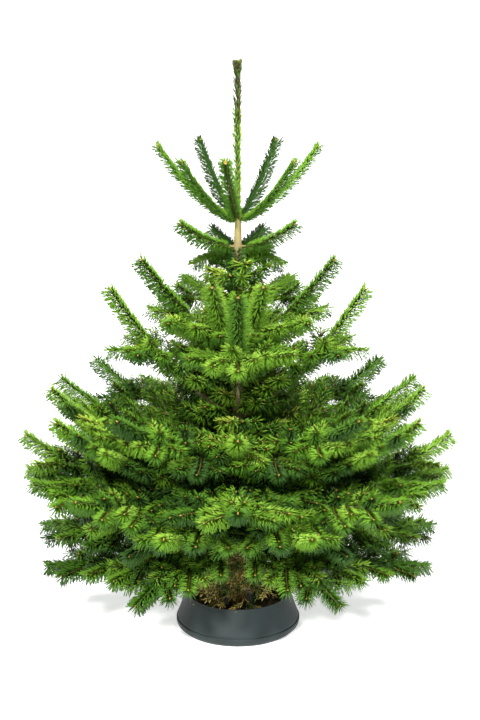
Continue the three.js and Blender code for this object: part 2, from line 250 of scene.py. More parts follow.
def add_shoot(bough, curve, order, root, seeds, start=0.06):
    """Keeps one shoot. order is 0 for a bough, root a radius and start where needles begin."""
    shoots.append(dict(bough=bough, curve=curve, order=order, root=root, seeds=seeds, start=start,
                       length=length_of(curve)))
    return shoots[-1]


def inside(curve, corners, above):
    """Whether a twig ends within the box of its mass, or a little above it near the trunk."""
    low, high = corners
    tip = curve[2]
    return bool(np.all(tip > low - REACH_SLACK) and np.all(tip < high + REACH_SLACK + UP * above))


print("shoots may pass their box by", REACH_SLACK, "m")


# %% Forks of a twig
def shoot_at(parent, t, around, splay, size, hand=1):
    """A shoot that leaves its parent at share t. around is 0 at its side and 90 above it."""
    place, forward = along(parent, t), heading(parent, t)
    side = unit(np.cross(forward, UP)) * hand
    upward = np.cross(side, forward) * hand
    out = side * math.cos(math.radians(around)) + upward * math.sin(math.radians(around))
    way = unit(forward * math.cos(splay) + out * math.sin(splay))
    bend = place + way * size / 2
    return place, bend, bend + unit(way + forward * STRAIGHTENING + UP * LIFTING) * size / 2


def fork(bough, twig, order, key):
    """Forks of one twig, and the forks of those that are long enough."""
    node_number = 0
    t = 1 - LAST_YEAR / twig["length"]
    while t >= FIRST_FORK:
        for k, around in enumerate(FORK_AROUND):
            seeds = (*key, node_number, k)
            if k == 2 and chance(*seeds, 5) < NO_UPPER_FORK:
                continue
            size = (FORK_LEAST + FORK_GROWTH * node_number) * (1 + 0.16 * spread(*seeds, 1))
            size *= UPPER_FORK_SHARE if k == 2 else 1.0
            splay = math.radians(FORK_SPLAY + 8 * spread(*seeds, 2))
            place = t + 0.02 * spread(*seeds, 3)
            around += 16 * spread(*seeds, 4)
            curve = shoot_at(twig["curve"], place, around, splay, size, bough["hand"])
            if inside(curve, bough["box"], 0.05 * (1 - t)):
                finer = add_shoot(bough, curve, order, FINE_ROOT, seeds)
                if finer["length"] > LAST_YEAR * LONG_ENOUGH:
                    fork(bough, finer, order + 1, seeds)
        node_number += 1
        t = 1 - (LAST_YEAR + YEAR_STEP * node_number) / twig["length"]


print("nodes", YEAR_STEP, "m apart, further in than", LAST_YEAR, "m from a tip")

# %% [markdown]
# At the end of each year's length a bough bears its side twigs, and in the solids it has no more
# than these. Here it also bears three shorter twigs above it and one low on each side, a little
# further in, so that the crown closes when it is seen from above.

# %% Twigs for each year
NEEDLE_CORE = 0.66  # thickness that a bough's own needles stand on, in root radii
CLEAR_OF_LIMB = 0.02  # share of the bough kept free beyond the bare stretch
# angle around the bough, how far it is set back in years, least length and growth with the bough
UPPER_TWIG, SIDE_TWIG = (0.035, 0.12), (0.07, 0.20)
EXTRA_TWIGS = [(58, 0.0, *UPPER_TWIG), (122, 0.0, *UPPER_TWIG), (90, 0.35, *UPPER_TWIG),
               (10, 0.55, *SIDE_TWIG), (170, 0.5, *SIDE_TWIG)]
EXTRA_SPLAY, EXTRA_ROOT = 48, 0.0024


def grow_side_twigs(bough, t, year):
    """The side twigs at the end of one year's length, with their forks."""
    whorl, hand = bough["whorl"], bough["hand"]
    for turn in ((1, -1, 0) if whorl["under"] else (1, -1)):
        seeds = (bough["w"], bough["b"], year, turn + 1)
        side_curve = twig_curve(whorl, bough["curve"], t, turn, hand, seeds)
        fork(bough, add_shoot(bough, side_curve, 1, SIDE_TWIG_ROOT, seeds), 2, seeds)


def grow_extra_twigs(bough, t, year, start):
    """The shorter twigs above the bough and at its sides. A two-year-old bough has no upper ones."""
    years, curve = bough["whorl"]["years"], bough["curve"]
    for step, (around, back, least, growth) in enumerate(EXTRA_TWIGS):
        seeds = (bough["w"], bough["b"], year, 10 + step)
        place = t - back / years
        if place < start + CLEAR_OF_LIMB or (years == 2 and (least, growth) == UPPER_TWIG):
            continue
        size = (least + growth * (1 - place) * length_of(curve)) * (1 + 0.2 * spread(*seeds, 1))
        splay = math.radians(EXTRA_SPLAY + 8 * spread(*seeds, 2))
        fine = shoot_at(curve, place, around + 12 * spread(*seeds, 3), splay, size, bough["hand"])
        if inside(fine, bough["box"], 0.07 * (1 - t)):
            fork(bough, add_shoot(bough, fine, 1, EXTRA_ROOT, seeds), 2, seeds)


def describe_shoots():
    """Prints how many shoots there are, and how long they are together."""
    metres = round(sum(shoot["length"] for shoot in shoots), 1)
    print(len(shoots), "shoots,", metres, "m of twig")


print(len(EXTRA_TWIGS), "extra twigs for every year's length")

# %% Grow the shoots
for bough in boughs:
    whorl = bough["whorl"]
    start = bough["limb"] or whorl["bare"]
    core = whorl["root"] * NEEDLE_CORE
    add_shoot(bough, bough["curve"], 0, core, (bough["w"], bough["b"], 0), start)
    for year in range(1, whorl["years"]):
        t = year / whorl["years"]
        if t > start + CLEAR_OF_LIMB:
            grow_side_twigs(bough, t, year)
            grow_extra_twigs(bough, t, year, start)
describe_shoots()

# %% [markdown]
# Between the whorls the trunk bears small twigs of its own. They stay short, because the boughs
# shade them, but they are what hides the trunk inside the crown.

# %% Small twigs on the trunk
TRUNK_TWIGS = 84
TRUNK_TWIG_LOW, TRUNK_TWIG_HIGH = 0.30, 1.09  # heights between which they stand
LONGEST_TRUNK_TWIG, SHORTENING = 0.19, 0.11  # at the lowest one, and less by the top one
TRUNK_TWIG_ROOT, TRUNK_FORK_ROOT = 0.0022, 0.0016
for k in range(TRUNK_TWIGS):
    share = (k + 0.5 * chance(k, 8)) / TRUNK_TWIGS
    z = TRUNK_TWIG_LOW + (TRUNK_TWIG_HIGH - TRUNK_TWIG_LOW) * share
    out = outward(2 * math.pi * (k * GOLDEN % 1))
    size = (LONGEST_TRUNK_TWIG - SHORTENING * share) * (1 + 0.25 * spread(k, 9))
    root = UP * z + out * 0.012
    bend = root + unit(out + UP * (0.35 + 0.3 * spread(k, 10))) * size / 2
    tip = bend + unit(out + UP * 0.5) * size / 2
    near = min(boughs, key=lambda bough: abs(bough["whorl"]["height"] + 0.08 - z))
    twig = add_shoot(near, (root, bend, tip), 1, TRUNK_TWIG_ROOT, (90, k))
    for step in range(3):
        around = 172 if step % 2 else 8
        fork_size = size * (0.5 - 0.1 * step)
        fine = shoot_at(
            twig["curve"], 0.3 + 0.2 * step, around, math.radians(FORK_SPLAY), fork_size)
        add_shoot(near, fine, 2, TRUNK_FORK_ROOT, (91, k, step))
describe_shoots()

# %% [markdown]
# A few boughs also grow between two whorls. They are thinner and stay nearly level.

# %% Boughs between the whorls
# height on the trunk, azimuth, reach, lift and sag; there is one on each side of the tree
BETWEEN = [
    (0.845, 52, 0.225, 0.110, 0.020), (0.800, 50, 0.205, 0.076, 0.016),
    (0.770, 112, 0.200, 0.060, 0.012), (0.790, 158, 0.210, 0.080, 0.016),
    (0.735, 66, 0.190, 0.055, 0.012), (0.700, 142, 0.220, 0.090, 0.016),
    (0.610, 165, 0.300, 0.110, 0.020), (0.520, 84, 0.522, 0.210, 0.080),
    (0.500, 63, 0.548, 0.196, 0.080), (0.420, 94, 0.604, 0.040, 0.030),
]
BETWEEN_ROOT, LONGEST_FORK = 0.0034, 0.17
BETWEEN_SPLAY, BETWEEN_START = 48, 0.2
FORKED_SHARE = 0.8  # of a bough's length
PLAIN_TIP = 0.9  # in last years' lengths


def between_curve(height, azimuth, reach, lift, sag, hand):
    """Centre line of a bough between two whorls."""
    out = outward(math.radians(hand * azimuth))
    bend = out * reach / 2 + UP * (height + lift / 2 - 2 * sag)
    return UP * height, bend, out * reach + UP * (height + lift)


for k, row in enumerate(BETWEEN):
    near = min(boughs, key=lambda bough: abs(bough["whorl"]["height"] - row[0]))
    for hand in (1, -1):
        curve = between_curve(*row, hand)
        twig = add_shoot(near, curve, 1, BETWEEN_ROOT, (92, k), BETWEEN_START)
        for step in range(int(twig["length"] * FORKED_SHARE / YEAR_STEP) - 1):
            for around in (8, 172):
                seeds = (93, k, step, around)
                t = 1 - (LAST_YEAR * PLAIN_TIP + YEAR_STEP * step) / twig["length"]
                size = min(FORK_LEAST + FORK_GROWTH * step, LONGEST_FORK)
                size *= 1 + 0.2 * spread(*seeds)
                fine = shoot_at(curve, t, around, math.radians(BETWEEN_SPLAY), size, hand)
                add_shoot(near, fine, 2, FINE_ROOT, seeds)
describe_shoots()


# %% [markdown]
# ## Colours and finishes
# Every colour is written as the sRGB hex value that a paint chart would give, and one function
# turns it into the linear numbers that the shader works in.


# %% Colour and node helpers
def colour(hex_value):
    """Linear red, green, blue and alpha for an sRGB hex value."""
    parts = [int(hex_value[i:i + 2], 16) / 255 for i in (1, 3, 5)]
    return [c / 12.92 if c <= 0.04045 else ((c + 0.055) / 1.055) ** 2.4 for c in parts] + [1.0]


def node(tree, kind, settings=None, **links):
    """Adds one node. A setting or link is named for its socket, with _ for a space in a link."""
    made = tree.nodes.new(kind)
    for name, value in (settings or {}).items():
        if hasattr(made, name):
            setattr(made, name, value)
        else:
            made.inputs[name].default_value = value
    for name, source in links.items():
        tree.links.new(source, made.inputs[name.replace("_", " ")])
    return made


def finish_of(name, **settings):
    """A new material with its shader's own sockets set, with _ for a space."""
    material = bpy.data.materials.new(name)
    material.use_nodes = True
    shader = material.node_tree.nodes["Principled BSDF"]
    for socket, value in settings.items():
        shader.inputs[socket.replace("_", " ")].default_value = value
    return material, material.node_tree, shader


print("mid grey is", round(colour("#808080")[0], 3), "in linear light")

# %% [markdown]
# Living fir needles have a waxy, glossy skin, which gives a soft shine along each one. Young ones
# are lime green and older ones turn a deep green. The greens also carry painted light and shade:
# shoots that face the front lights are dealt brighter ones, shoots turned away darker ones, and
# shoots high up brighter ones, partly as young growth and partly as painted light from above. The
# underside carries pale bands of wax. A shoot's needles share one age, so a whole shoot gets one
# plain colour, and only the needles below it are a step darker, a painted shade. A painted pattern
# would cut across the shoots.

# %% Needle finishes
NEEDLE_GREENS = dict(
    lime="#a6bc42", fresh="#80a834", green="#669224", deep="#48721c", shade="#32541c",
    dry="#a0904e", fallen="#4e4022",
)
needle_finishes = [
    finish_of(f"needle_{name}", Base_Color=colour(value), Roughness=0.35, IOR=1.4,
              Specular_IOR_Level=0.22)[0]
    for name, value in NEEDLE_GREENS.items()
]
needle_finishes.append(
    finish_of("needle_underside", Base_Color=colour("#5c8a30"), Roughness=0.5,
              Specular_IOR_Level=0.2)[0])
LIME, FRESH, GREEN, DEEP, SHADE, DRY, FALLEN, UNDERSIDE = range(8)
print(len(needle_finishes), "needle finishes")

# %% Which colour a shoot gets
TURNED_AWAY = -0.3  # a year-old shoot that points further back than this gets the darkest green, a painted shade
OUTER_FROM, OUTER_RANGE = 0.45, 0.45
HIGH_FROM, HIGH_RANGE = 0.50, 0.35


def share_of_reach(shoot):
    """How far out the tip of a shoot is, where the tip of its bough is at 1."""
    return np.hypot(*shoot["curve"][2][:2]) / np.hypot(*shoot["bough"]["curve"][2][:2])


def tint_of(shoot):
    """Brighter greens for outer tips that face the front lights and for high shoots, in part as painted
    light; shoots turned away from the lights get darker ones, as painted shade.
    """
    bough = shoot["bough"]
    facing_the_lights = -heading(bough["curve"], 0.8)[1]
    # painted shade: a year-old shoot turned away from the front lights gets the darkest green
    if bough["whorl"]["years"] == 1:
        return GREEN if facing_the_lights > TURNED_AWAY else SHADE
    outer = float(np.clip((share_of_reach(shoot) - OUTER_FROM) / OUTER_RANGE, 0, 1))
    # painted light: outer tips get brighter greens only as far as they face the front lights
    outer *= float(np.clip(0.2 + facing_the_lights, 0, 1))
    # partly painted light from above: shoots high up get brighter greens, besides being younger growth
    high = float(np.clip((shoot["curve"][2][2] - HIGH_FROM) / HIGH_RANGE, 0, 1))
    pick = chance(*shoot["seeds"], 77)
    for tint, share in ((LIME, 0.12 * high), (FRESH, 0.05 + 0.22 * outer + 0.28 * high),
                        (GREEN, 0.36), (DEEP, 0.36 - 0.10 * outer)):
        if pick < share:
            return tint
        pick -= share
    return SHADE


tints = [tint_of(shoot) for shoot in shoots]
print("shoots by colour:", np.bincount(tints).tolist())

# %% [markdown]
# ## Needles
# There are about 200,000 needles, so they are worked out as arrays, one row for each. A needle
# has four corners, two across its root and two across its tip, turned from each other so that it
# has some body from every side. Its four faces lie above, on each side and, paler, below. Needles
# stand round the twig and lean towards its tip, those above more closely, and all of them sink a
# little. They part along the top of an older shoot, and along the underside of the top shoots, so
# that the twig shows there as it does on a real fir.

# %% Needles of one shoot
NEEDLE_LENGTH, NEEDLE_WIDTH = 0.036, 0.0036
NEEDLE_ROOT_HALF, NEEDLE_TIP_HALF = 0.5, 0.34  # half widths, as shares of the width
NEEDLE_TWIST = math.radians(60)
PARTING = math.radians(60)
BELOW, ABOVE = -math.pi / 2, math.pi / 2
CROWDING = 0.12  # how much denser needles stand above a twig, and thinner below
SINKING = 0.16
LEAN_VARIETY, CLOSER_ABOVE, SHORTER_ABOVE = 7, 22, 0.30
SHORT_ENDS = 0.30  # how much shorter needles are at the ends of a shoot


def needles_on(curve, start, end, count, lean, length, tint, seed, core=0.002,
               width=NEEDLE_WIDTH, parting=0.0, parted=BELOW):
    """Root, direction, upper side, length, width and colour of each needle on a stretch."""
    rng = np.random.RandomState(seed % (2 ** 31))
    share = (np.arange(count) + rng.uniform(-0.4, 0.4, count)) / max(count, 1)
    t = start + (end - start) * np.clip(share, 0, 1)
    place, forward = along(curve, t), heading(curve, t)
    side = unit(np.cross(forward, UP + 1e-6))
    upward = np.cross(side, forward)
    turn = (np.arange(count) * GOLDEN + rng.uniform(0, 0.06, count)) % 1 * 2 * math.pi
    angle = (turn + CROWDING * np.cos(turn) - parted) % (2 * math.pi)
    angle = angle * (1 - parting / (2 * math.pi)) + parting / 2 + parted
    out = side * np.cos(angle)[:, None] + upward * np.sin(angle)[:, None]
    above = np.clip(np.sin(angle), 0, 1)
    tilt = np.radians(lean + rng.normal(0, LEAN_VARIETY, count) - CLOSER_ABOVE * above)
    way = unit(forward * np.cos(tilt)[:, None] + out * np.sin(tilt)[:, None] - UP * SINKING)
    ends = 1 - SHORT_ENDS + SHORT_ENDS * np.sin(math.pi * np.clip(0.10 + 0.72 * share, 0, 1))
    size = length * ends * (1.04 - SHORTER_ABOVE * above) * rng.uniform(0.84, 1.08, count)
    face = UP * 0.6 + forward * 0.7 + out * 0.25
    face = unit(face - way * (face * way).sum(1, keepdims=True))
    # painted shade: the needles on the underside of a shoot are dealt the next darker green
    below = np.sin(angle) < -0.25
    darker = np.where(below & (tint < SHADE), tint + 1, tint)
    return place + out * core * 0.5, way, face, size, np.full(count, width), darker


print("needles up to", round(1000 * NEEDLE_LENGTH), "mm long")

# %% [markdown]
# Real needles are about half as wide, and there are several times as many. These are as wide as
# the count asks for, so that the crown is as full as the real one. The last year's length of a
# bough bears a dense brush, its older lengths have lost most of their needles, and shoots that end
# deep inside the crown have few. The year-old shoots at the top are the densest.

# %% Habits of the shoots
NEEDLES_PER_METRE, NEEDLE_LEAN = 930, 60
# needles per metre, lean in degrees and length of the needles on the year-old shoots
HABIT = dict(
    top_shoot=(4100, 38, 0.030),
    tuft=(3200, 54, 0.034),
)
# how far the needles part, and on which side
PARTED = dict(top_shoot=(PARTING, BELOW), tuft=(0.0, BELOW))
NARROWER = 0.9  # width of year-old needles, as a share
# shares of the reach of a bough, and what density or width is multiplied by there
DENSITY_BY_REACH = ([0.3, 0.6, 0.9], [0.5, 0.9, 1.5])
WIDTH_BY_REACH = ([0.4, 0.65], [1.4, 1.0])
OLDER_DENSITY, LAST_YEAR_DENSITY = 0.5, 2.2  # the same for a bough's own lengths
LONG_TWIG = 0.3  # metres, from where a twig has an older length too


def dressed(shoot, tint, seed):
    """The needles of one shoot, as one or two stretches."""
    start, length, whorl = shoot["start"], shoot["length"], shoot["bough"]["whorl"]
    older = whorl["years"] > 1
    density, lean, needle = HABIT.get(whorl["name"], (NEEDLES_PER_METRE, NEEDLE_LEAN, NEEDLE_LENGTH))
    lean += 6 * spread(*shoot["seeds"], 5)
    width = NEEDLE_WIDTH if older else NARROWER * NEEDLE_WIDTH
    if older:
        outer = share_of_reach(shoot)
        density *= float(np.interp(outer, *DENSITY_BY_REACH))
        width *= float(np.interp(outer, *WIDTH_BY_REACH))
    made = []
    if older and (shoot["order"] == 0 or length > LONG_TWIG):
        last = 1 - 1 / whorl["years"]
        count = int(OLDER_DENSITY * density * length * (last - start))
        made.append(needles_on(shoot["curve"], start, last, count, lean, needle, tint, seed,
                               shoot["root"], width))
        start, density = last, LAST_YEAR_DENSITY * density
        seed += 50000
    count = int(density * length * (1 - start))
    made.append(needles_on(shoot["curve"], start, 1.0, count, lean, needle, tint, seed,
                           shoot["root"], width, *PARTED.get(whorl["name"], (PARTING, ABOVE))))
    return made


print("top shoots bear", HABIT["top_shoot"][0], "needles per metre")

# %% Dress every shoot
rows = {whorl["name"]: [] for whorl in WHORLS}
for number, (shoot, tint) in enumerate(zip(shoots, tints)):
    rows[shoot["bough"]["whorl"]["name"]] += dressed(shoot, tint, 1000 + number)
print({name: sum(len(row[0]) for row in made) for name, made in rows.items()})

# %% [markdown]
# The leader is this year's straight shoot on top. Its needles lie close against it, light green
# low down and browned by the wind towards the tip, where they stand round the end buds. The trunk
# just below the small whorl still has its green needles too.

# %% Needles on the upper trunk and the leader
trunk_curve = (UP * 0.975, UP * 1.045, UP * 1.118)
leader_low = (UP * 1.212, UP * 1.36, UP * 1.50)
leader_high = (UP * 1.45, UP * 1.53, UP * 1.61)
leader_end = (UP * 1.598, UP * 1.616, UP * 1.632)
TRUNK_NEEDLES = dict(count=210, lean=52, length=0.028, core=0.020)
LEADER_NEEDLES = dict(lean=22, length=0.022, core=0.010)
END_NEEDLES = dict(count=50, lean=38, length=0.020, core=0.005)
LEADER_ROWS = [(leader_low, 80, FRESH), (leader_low, 260, LIME), (leader_low, 50, DEEP),
               (leader_high, 40, SHADE), (leader_high, 90, FALLEN), (leader_high, 50, DEEP)]
for k, tint in enumerate((DEEP, SHADE, GREEN, DEEP)):
    rows["tuft"].append(needles_on(trunk_curve, 0, 1, tint=tint, seed=31 + k, **TRUNK_NEEDLES))
for k, (curve, count, tint) in enumerate(LEADER_ROWS):
    rows["top_shoot"].append(
        needles_on(curve, 0, 1, count, tint=tint, seed=51 + k, **LEADER_NEEDLES))
for k, tint in enumerate((FALLEN, DEEP)):
    rows["top_shoot"].append(needles_on(leader_end, 0, 1, tint=tint, seed=61 + k, **END_NEEDLES))
print("upper trunk and leader dressed")

# %% [markdown]
# Needles could be instances of one small mesh, but instances are lost when the model is saved for
# other programs. So the arrays of a whole whorl go straight into one mesh, or into two where there
# are too many needles.


# %% Meshes from arrays
def mesh_from_arrays(name, corners, faces, finish_index, finishes):
    """A plain mesh object made straight from arrays, which is quick for a million faces."""
    mesh = bpy.data.meshes.new(name)
    mesh.vertices.add(len(corners))
    mesh.vertices.foreach_set("co", np.asarray(corners, np.float32).ravel())
    mesh.loops.add(3 * len(faces))
    mesh.loops.foreach_set("vertex_index", np.asarray(faces, np.int32).ravel())
    mesh.polygons.add(len(faces))
    mesh.polygons.foreach_set("loop_start", np.arange(0, 3 * len(faces), 3, dtype=np.int32))
    for finish in finishes:
        mesh.materials.append(finish)
    mesh.polygons.foreach_set("material_index", np.asarray(finish_index, np.int32))
    mesh.update(calc_edges=True)
    mesh.validate()
    thing = bpy.data.objects.new(name, mesh)
    bpy.context.scene.collection.objects.link(thing)
    return thing


print("meshes can be made from arrays")


# %% Needle meshes
def needle_object(name, made):
    """Joins stretches of needles into one piece. Dry needles are as brown below as above."""
    root, way, face, size, width, tint = (np.concatenate(part) for part in zip(*made))
    across = np.cross(way, face)
    twisted = across * math.cos(NEEDLE_TWIST) + face * math.sin(NEEDLE_TWIST)
    tip = root + way * size[:, None]
    at_root = across * (NEEDLE_ROOT_HALF * width)[:, None]
    at_tip = twisted * (NEEDLE_TIP_HALF * width)[:, None]
    corners = np.stack([root - at_root, root + at_root, tip - at_tip, tip + at_tip], axis=1)
    pattern = np.array([[0, 1, 3], [0, 3, 2], [1, 2, 3], [0, 2, 1]])
    faces = (np.arange(len(root))[:, None, None] * 4 + pattern).reshape(-1, 3)
    under = np.where(tint >= DRY, tint, UNDERSIDE)
    finish_index = np.stack([tint, tint, tint, under], axis=1).ravel()
    return mesh_from_arrays(name, corners.reshape(-1, 3), faces, finish_index, needle_finishes)


print("needles can be joined into one mesh")

# %% Join the needles of each whorl
PIECE_LIMIT = 190000  # faces, so that no piece is thinned when it is exported
for whorl in WHORLS:
    made = rows[whorl["name"]]
    masses = [bough["mass"] for bough in boughs if bough["whorl"] is whorl]
    total = 4 * sum(len(row[0]) for row in made)
    lots = math.ceil(total / PIECE_LIMIT)
    for lot in range(lots):
        piece = needle_object(f"needles_{whorl['name']}_{lot + 1}", made[lot::lots])
        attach(piece, "root")
        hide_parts(*masses)
        print(piece.name, len(piece.data.polygons), "faces stand for", len(masses), "masses")


# %% [markdown]
# ## Twigs
# A twig is a thin rod along a curve that tapers to its bud. Thousands of them follow one rule, so
# their centre lines go into one mesh of edges that stores a radius at every point, and Geometry
# Nodes sweeps a section of a few sides along them. A curve object for each would take far longer.


# %% Centre lines and the nodes that sweep them
def line_mesh(name, lines):
    """Edges along each line of (points, radii), with the radius stored at every point."""
    mesh = bpy.data.meshes.new(name)
    points, edges, radii = [], [], []
    for line, radius in lines:
        first = len(points)
        points.extend(map(tuple, line))
        edges.extend((i, i + 1) for i in range(first, first + len(line) - 1))
        radii.extend(radius)
    mesh.from_pydata(points, edges, [])
    mesh.attributes.new("radius_here", "FLOAT", "POINT").data.foreach_set("value", radii)
    return mesh


def sweep_tree(name, finish):
    """Nodes that turn the edges into rods, with the number of sides as an input."""
    tree = bpy.data.node_groups.new("sweep_" + name, "GeometryNodeTree")
    tree.interface.new_socket("Geometry", in_out="INPUT", socket_type="NodeSocketGeometry")
    tree.interface.new_socket("Sides", in_out="INPUT", socket_type="NodeSocketInt")
    tree.interface.new_socket("Geometry", in_out="OUTPUT", socket_type="NodeSocketGeometry")
    inputs = node(tree, "NodeGroupInput")
    radius = node(tree, "GeometryNodeInputNamedAttribute",
                  {"data_type": "FLOAT", "Name": "radius_here"})
    curve = node(tree, "GeometryNodeMeshToCurve", Mesh=inputs.outputs["Geometry"])
    section = node(tree, "GeometryNodeCurvePrimitiveCircle", {"Radius": 1.0},
                   Resolution=inputs.outputs["Sides"])
    rod = node(tree, "GeometryNodeCurveToMesh", {"Fill Caps": True},
               Curve=curve.outputs["Curve"], Profile_Curve=section.outputs["Curve"],
               Scale=radius.outputs["Attribute"])
    real = node(tree, "GeometryNodeRealizeInstances", Geometry=rod.outputs["Mesh"])
    painted = node(tree, "GeometryNodeSetMaterial", {"Material": finish},
                   Geometry=real.outputs["Geometry"])
    node(tree, "NodeGroupOutput", Geometry=painted.outputs["Geometry"])
    return tree


print("centre lines and their nodes ready")


# %% Sweep rods
def swept(name, lines, sides, finish):
    """One closed tapering rod along each line, as one plain mesh object."""
    source = bpy.data.objects.new(name + "_lines", line_mesh(name + "_lines", lines))
    bpy.context.scene.collection.objects.link(source)
    modifier = source.modifiers.new("sweep", "NODES")
    modifier.node_group = sweep_tree(name, finish)
    sockets = {item.name: item.identifier for item in modifier.node_group.interface.items_tree}
    modifier[sockets["Sides"]] = sides
    evaluated = source.evaluated_get(bpy.context.evaluated_depsgraph_get())
    result = bpy.data.meshes.new_from_object(evaluated)
    result.name = name
    thing = bpy.data.objects.new(name, result)
    bpy.context.scene.collection.objects.link(thing)
    bpy.data.objects.remove(source)
    return thing


print("rods can be swept")

# %% Twig bark and the twigs
# young bark is thin, dry and matt, an olive brown
twig_bark, _, _ = finish_of("twig_bark", Base_Color=colour("#76682c"), Roughness=0.8)
TIP_RADIUS = 0.0009
TWIG_SIDES = 4
SHORT_TWIG = 0.12  # metres, up to which two straight lengths will do


def twig_line(shoot):
    """Points and radii along a twig, with more of them on a long one."""
    t = np.linspace(0.0, 1.0, 3 if shoot["length"] < SHORT_TWIG else 5)
    radius = shoot["root"] + (TIP_RADIUS - shoot["root"]) * t
    return along(shoot["curve"], t), radius


twig_lines = [twig_line(shoot) for shoot in shoots if shoot["order"] > 0]
twigs = swept("twigs", twig_lines, TWIG_SIDES, twig_bark)
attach(twigs, "root")
print(len(twigs.data.polygons), "faces of twig")

# %% [markdown]
# ## Buds
# Every shoot ends in a cluster of resin-coated buds, orange brown against the green. A bud is a
# small closed spindle, one in the middle and a few around it. The end of a bough has more of them
# than a side twig, and the top shoots and the leader have the largest.

# %% Where the buds sit
BUD_LENGTH, BUD_WIDTH, BUD_BELLY = 0.0070, 0.0040, 0.42
OUTER_BUD_SPREAD, OUTER_BUD_SIZE = 0.9, 0.8
SUNK, OUTER_SUNK = 0.002, 0.003  # how deep a bud sits in the tip of its shoot
BUDS_BY_ORDER = [(1.15, 4), (1.0, 2), (0.8, 0)]  # size and number around the middle one
TOP_SHOOT_BUDS = (2.0, 6)


def bud_rows(tip, forward, size, count, seed):
    """Base, direction and size of each bud in a cluster."""
    side = unit(np.cross(forward, UP + 1e-6))
    upward = np.cross(side, forward)
    made = [(tip - forward * SUNK, forward, size)]
    for k in range(count):
        angle = 2 * math.pi * (k + chance(seed, k)) / count
        out = side * math.cos(angle) + upward * math.sin(angle)
        way = unit(forward + out * OUTER_BUD_SPREAD)
        made.append((tip - forward * OUTER_SUNK, way, size * OUTER_BUD_SIZE))
    return made


clusters = []
for number, shoot in enumerate(shoots):
    size, around = BUDS_BY_ORDER[min(shoot["order"], 2)]
    if shoot["bough"]["whorl"]["name"] == "top_shoot":
        size, around = TOP_SHOOT_BUDS
    clusters += bud_rows(shoot["curve"][2], heading(shoot["curve"], 1.0), size, around, number)
leader_tip = UP * (top_height - 0.010)
clusters += bud_rows(leader_tip, UP, 1.5, 5, 9001)
clusters += bud_rows(leader_tip - UP * 0.012, UP, 1.3, 5, 9002)
print(len(clusters), "buds")


# %% Buds at the shoot tips
def spindles(clusters):
    """Corners and faces of one four-sided closed spindle for each bud."""
    base, way, size = (np.array(part) for part in zip(*clusters))
    side = unit(np.cross(way, UP + 1e-6))
    upward = np.cross(side, way)
    belly = base + way * (BUD_BELLY * BUD_LENGTH * size)[:, None]
    ring = []
    for k in range(4):
        out = side * math.cos(k * math.pi / 2) + upward * math.sin(k * math.pi / 2)
        ring.append(belly + out * (BUD_WIDTH / 2 * size)[:, None])
    corners = np.stack([base, *ring, base + way * (BUD_LENGTH * size)[:, None]], axis=1)
    below = [[0, k % 4 + 1, (k - 1) % 4 + 1] for k in range(1, 5)]
    above = [[5, (k - 1) % 4 + 1, k % 4 + 1] for k in range(1, 5)]
    faces = np.arange(len(base))[:, None, None] * 6 + np.array(below + above)
    return corners.reshape(-1, 3), faces.reshape(-1, 3)


# dry scales under a film of resin, which gives them a dull shine
bud_scales, _, _ = finish_of("bud_scales", Base_Color=colour("#b89a48"), Roughness=0.5)
corners, faces = spindles(clusters)
buds = mesh_from_arrays("buds", corners, faces, np.zeros(len(faces)), [bud_scales])
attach(buds, "root")
print(len(faces), "faces of bud")

# %% [markdown]
# ## Trunk and boughs
# Young fir bark is smooth and grey brown, with raised lenticels and collars where the whorls
# leave it. The relief is in the mesh: each ring of the trunk is pushed in and out by a noise
# that is stretched along the stem, and swells at every whorl. Bark is peeled to golden wood in the
# stand, grey brown above it, pale just below the top shoots, green on this year's leader and brown
# again near its tip.

# %% Bark finish
# fir bark is dry and matt, and its patches are three times as wide as they are high
BARK_PATCH_MM = 16.667
bark, tree, shader = finish_of("fir_bark", Roughness=0.85)
place = node(tree, "ShaderNodeTexCoord")
stretch = node(tree, "ShaderNodeMapping", {"Scale": (1, 1, 3.0)}, Vector=place.outputs["Object"])
patches = node(tree, "ShaderNodeTexNoise",
               {"Scale": 1000 / BARK_PATCH_MM, "Detail": 4.0, "Roughness": 0.6},
               Vector=stretch.outputs["Vector"])
tones = node(tree, "ShaderNodeValToRGB", Fac=patches.outputs["Fac"])
tones.color_ramp.elements[0].position, tones.color_ramp.elements[0].color = 0.3, colour("#5a4630")
tones.color_ramp.elements[1].position, tones.color_ramp.elements[1].color = 0.72, colour("#a3906c")
bumps = node(tree, "ShaderNodeBump", {"Strength": 0.5, "Distance": 0.001},
             Height=patches.outputs["Fac"])
tree.links.new(bumps.outputs["Normal"], shader.inputs["Normal"])
print("bark patches", BARK_PATCH_MM, "mm wide")

# %% Bark by height on the tree
spot = node(tree, "ShaderNodeSeparateXYZ", Vector=place.outputs["Object"])
height = node(tree, "ShaderNodeMapRange", {"From Min": 1.0, "From Max": 1.65}, Value=spot.outputs["Z"])
age = node(tree, "ShaderNodeValToRGB", Fac=height.outputs["Result"])
age.color_ramp.elements[0].position, age.color_ramp.elements[0].color = 0.20, colour("#a0905e")
age.color_ramp.elements[1].position, age.color_ramp.elements[1].color = 0.95, colour("#4a3c26")
green_bark = age.color_ramp.elements.new(0.5)
green_bark.color = colour("#9c9850")
young = node(tree, "ShaderNodeMapRange", {"From Min": 1.08, "From Max": 1.16}, Value=spot.outputs["Z"])
aged = node(tree, "ShaderNodeMixRGB", Fac=young.outputs["Result"], Color1=tones.outputs["Color"],
            Color2=age.outputs["Color"])
peeled = node(tree, "ShaderNodeMapRange", {"From Min": 0.15, "From Max": 0.12}, Value=spot.outputs["Z"])
skin = node(tree, "ShaderNodeMixRGB", {"Color2": colour("#a87c38")}, Fac=peeled.outputs["Result"],
            Color1=aged.outputs["Color"])
tree.links.new(skin.outputs["Color"], shader.inputs["Base Color"])
print("bark finish ready")


# %% Rings of bark round a centre line
BUMPS_ROUND, BUMPS_ALONG = 90, 40  # to the metre, so about 11 mm round the stem and 25 mm along it


